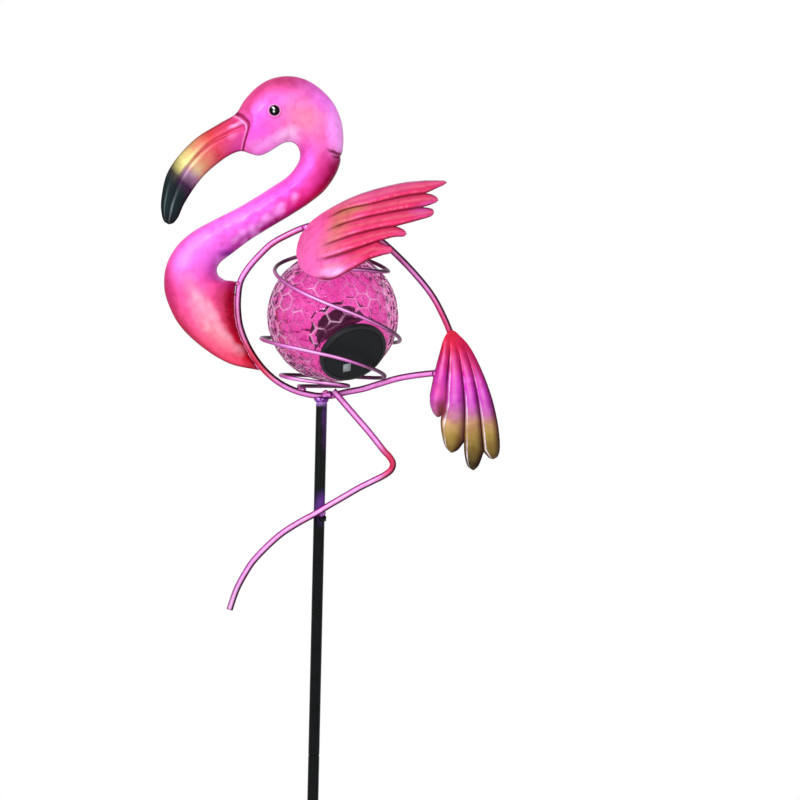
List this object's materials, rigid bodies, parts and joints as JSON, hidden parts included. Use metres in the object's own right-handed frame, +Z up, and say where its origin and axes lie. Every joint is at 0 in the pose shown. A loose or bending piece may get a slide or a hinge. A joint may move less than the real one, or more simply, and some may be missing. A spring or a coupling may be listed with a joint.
{
  "type": "solar flamingo garden light",
  "caption": "Painted metal flamingo on a pole with a screw-on ground stake; a wire spiral cradles a pink honeycomb glass globe closed by a solar cap.",
  "frame": {"origin": "centre of the flat foot of the ground stake's rod", "axes": "+Z up along the stake and the pole, -Y out of the bird's show side, -X the way the beak points"},
  "size_m": [0.2614, 0.1106, 1.0156],
  "materials": {
    "pink_sheet_paint": "glossy candy paint on stamped sheet",
    "coral_wing_paint": "glossy candy paint on stamped sheet",
    "magenta_tail_paint": "glossy candy paint with gold tips",
    "pink_wire_paint": "glossy candy paint on wire",
    "black_bead": "polished",
    "pink_glass": "blown, honeycomb relief",
    "black_cap_plastic": "moulded",
    "panel_face": "smooth",
    "black_pole_paint": "satin enamel"
  },
  "bodies": {
    "root": {"head_and_neck": "pink_sheet_paint", "eye_left": "black_bead", "eye_right": "black_bead", "wing": "coral_wing_paint", "tail_feathers": "magenta_tail_paint", "body_ring": "pink_wire_paint", "globe_coil": "pink_wire_paint", "bent_leg": "pink_wire_paint", "glass_globe": "pink_glass", "solar_cap": "black_cap_plastic", "solar_panel": "panel_face", "upper_pole": "black_pole_paint", "ground_stake": "black_pole_paint", "step_prong": "black_pole_paint"}
  },
  "joints": []
}
